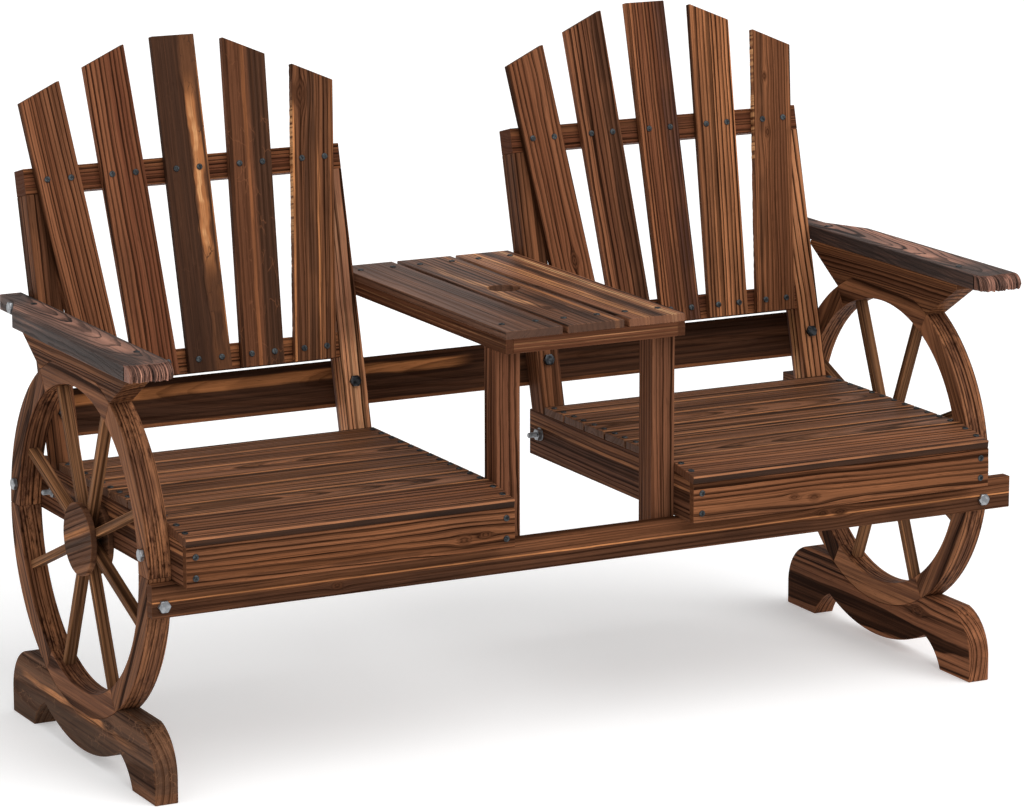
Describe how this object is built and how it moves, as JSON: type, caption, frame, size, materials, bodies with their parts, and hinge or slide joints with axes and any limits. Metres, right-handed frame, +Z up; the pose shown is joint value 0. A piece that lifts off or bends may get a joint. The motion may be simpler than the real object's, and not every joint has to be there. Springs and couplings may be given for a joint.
{
  "type": "double garden chair bench",
  "caption": "Wooden garden bench of fan-back seats joined by a slatted table with an umbrella hole, carried by spoked wagon-wheel sides on wavy feet.",
  "frame": {"origin": "on the ground under the middle of the bench, in line with the wheel hubs", "axes": "+X along the length to the sitter's left-hand wheel, +Y from the front to the back, +Z up"},
  "size_m": [1.438, 0.6206, 0.9875],
  "materials": {
    "slat_wood": "scorched, oiled satin",
    "frame_wood": "scorched, oiled satin",
    "wheel_wood": "scorched, oiled satin",
    "arm_wood": "heavily scorched, matt",
    "screw_steel": "dull dark",
    "bolt_steel": "zinc plated"
  },
  "bodies": {
    "root": {"right_back_slat_1": "slat_wood", "right_back_slat_2": "slat_wood", "right_back_slat_3": "slat_wood", "right_back_slat_4": "slat_wood", "right_back_slat_5": "slat_wood", "right_seat_slats": "slat_wood", "right_front_slat": "slat_wood", "right_apron": "slat_wood", "right_inner_post": "frame_wood", "right_outer_post": "frame_wood", "right_top_rail": "frame_wood", "right_lower_rail": "frame_wood", "right_inner_side_rail": "frame_wood", "right_outer_side_rail": "frame_wood", "right_rim": "wheel_wood", "right_spokes": "wheel_wood", "right_hub_discs": "wheel_wood", "right_foot": "wheel_wood", "right_arm_block": "wheel_wood", "right_arm": "arm_wood", "left_back_slat_1": "slat_wood", "left_back_slat_2": "slat_wood", "left_back_slat_3": "slat_wood", "left_back_slat_4": "slat_wood", "left_back_slat_5": "slat_wood", "left_seat_slats": "slat_wood", "left_front_slat": "slat_wood", "left_apron": "slat_wood", "left_inner_post": "frame_wood", "left_outer_post": "frame_wood", "left_top_rail": "frame_wood", "left_lower_rail": "frame_wood", "left_inner_side_rail": "frame_wood", "left_outer_side_rail": "frame_wood", "left_rim": "wheel_wood", "left_spokes": "wheel_wood", "left_hub_discs": "wheel_wood", "left_foot": "wheel_wood", "left_arm_block": "wheel_wood", "left_arm": "arm_wood", "front_rail": "frame_wood", "back_rail": "frame_wood", "right_table_leg": "frame_wood", "left_table_leg": "frame_wood", "table_bearers": "frame_wood", "table_slat_1": "slat_wood", "table_slat_2": "slat_wood", "table_slat_3": "slat_wood", "right_table_skirt": "slat_wood", "left_table_skirt": "slat_wood", "front_table_skirt": "slat_wood", "seat_screws": "screw_steel", "back_screws": "screw_steel", "table_screws": "screw_steel", "arm_screws": "screw_steel", "side_bolts": "bolt_steel", "rail_bolts": "bolt_steel", "post_bolts": "bolt_steel", "lap_bolts": "bolt_steel", "lap_nuts": "bolt_steel"}
  },
  "joints": []
}
